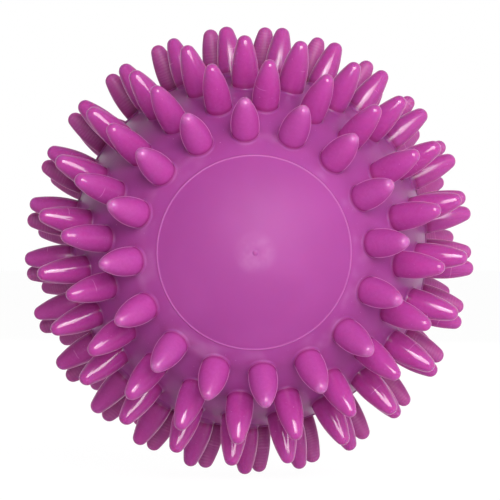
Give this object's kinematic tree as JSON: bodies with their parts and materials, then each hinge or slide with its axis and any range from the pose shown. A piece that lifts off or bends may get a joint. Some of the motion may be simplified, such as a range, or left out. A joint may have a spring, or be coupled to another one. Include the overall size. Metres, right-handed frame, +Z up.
{
  "type": "massage ball",
  "caption": "Hollow spiky massage ball: two bonded soft-vinyl half shells with rings of rounded spikes and a smooth round cap at each pole, closed by a push-in air plug.",
  "frame": {"origin": "centre of the ball, in the plane where the two half shells meet", "axes": "the pole axis lies along Y: the plain cap with the sprue mark faces -Y and the air plug faces +Y; +Z is up"},
  "size_m": [0.09, 0.071, 0.0899],
  "materials": {
    "ball_vinyl": "soft magenta vinyl, satin wall with glossy spikes",
    "plug_vinyl": "firmer magenta vinyl, satin"
  },
  "bodies": {
    "ball": {"front_half_shell": "ball_vinyl", "rear_half_shell": "ball_vinyl"},
    "plug": {"valve_plug": "plug_vinyl"}
  },
  "joints": [
    {"name": "plug_pull", "type": "slide", "parent": "ball", "child": "plug", "axis": [0, 1, 0], "range_m": [0, 0.016]}
  ]
}
